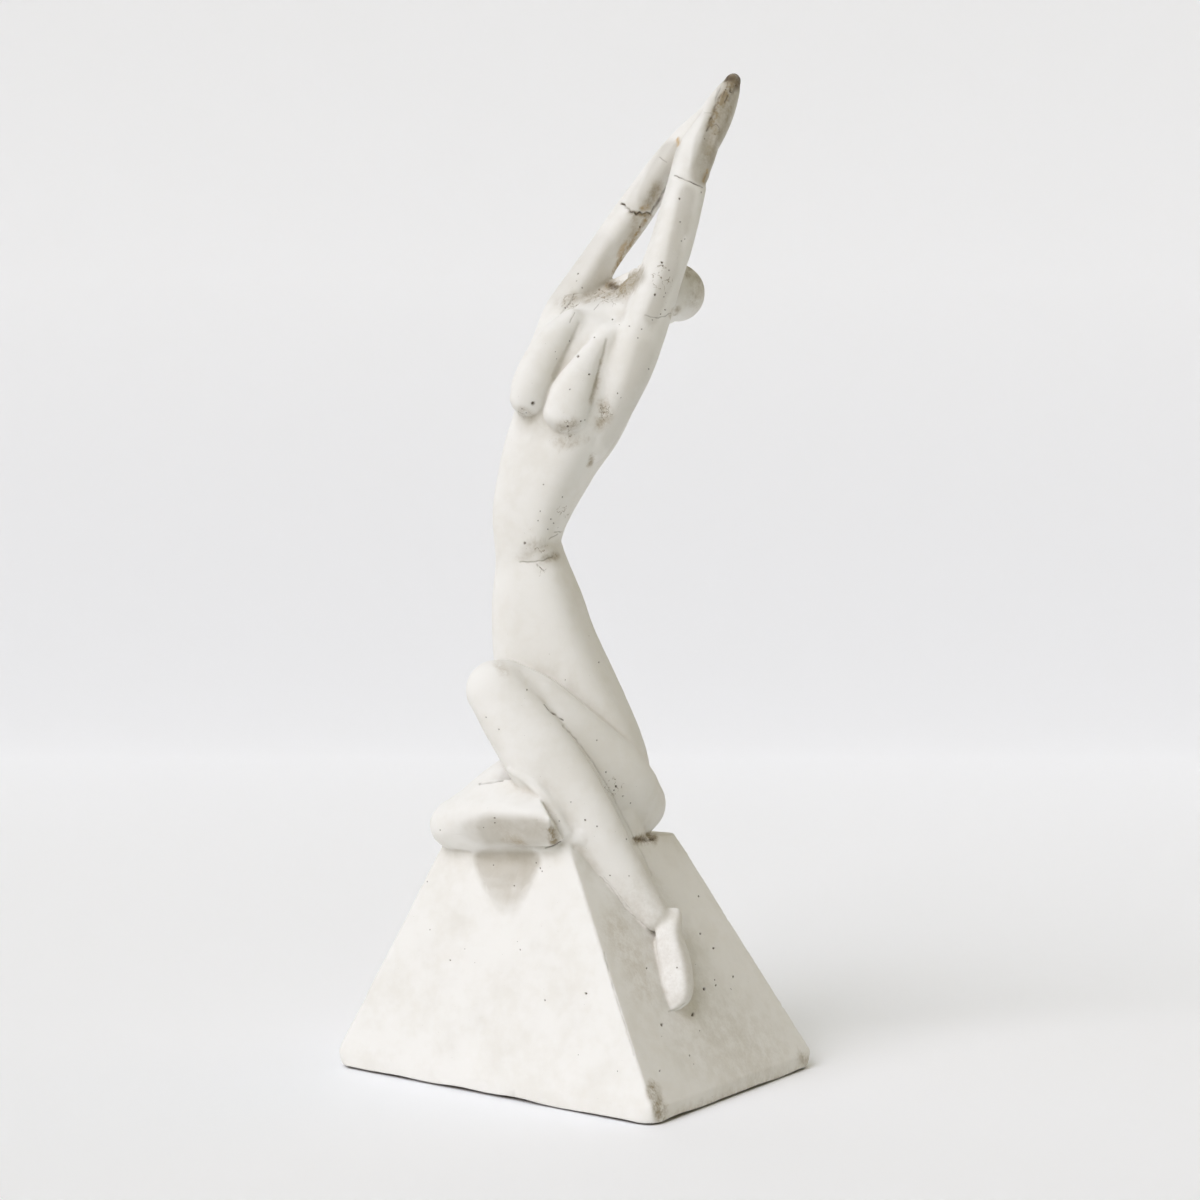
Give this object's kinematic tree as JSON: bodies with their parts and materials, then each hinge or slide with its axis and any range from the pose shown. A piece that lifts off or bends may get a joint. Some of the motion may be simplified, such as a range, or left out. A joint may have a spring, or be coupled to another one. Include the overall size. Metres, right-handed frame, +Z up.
{
  "type": "seated figure sculpture",
  "caption": "Plaster figure of a seated woman leaning back with arms raised and hands joined, one leg folded, one over the edge of a truncated rectangular pyramid.",
  "frame": {"origin": "middle of the base's flat underside, on the surface it stands on", "axes": "+Z up; the base's wide front face looks along -Y; the narrow side face that carries the left foot looks along +X"},
  "size_m": [0.231, 0.169, 0.5969],
  "materials": {
    "plaster": "matte"
  },
  "bodies": {
    "root": {"seated_woman": "plaster"}
  },
  "joints": []
}
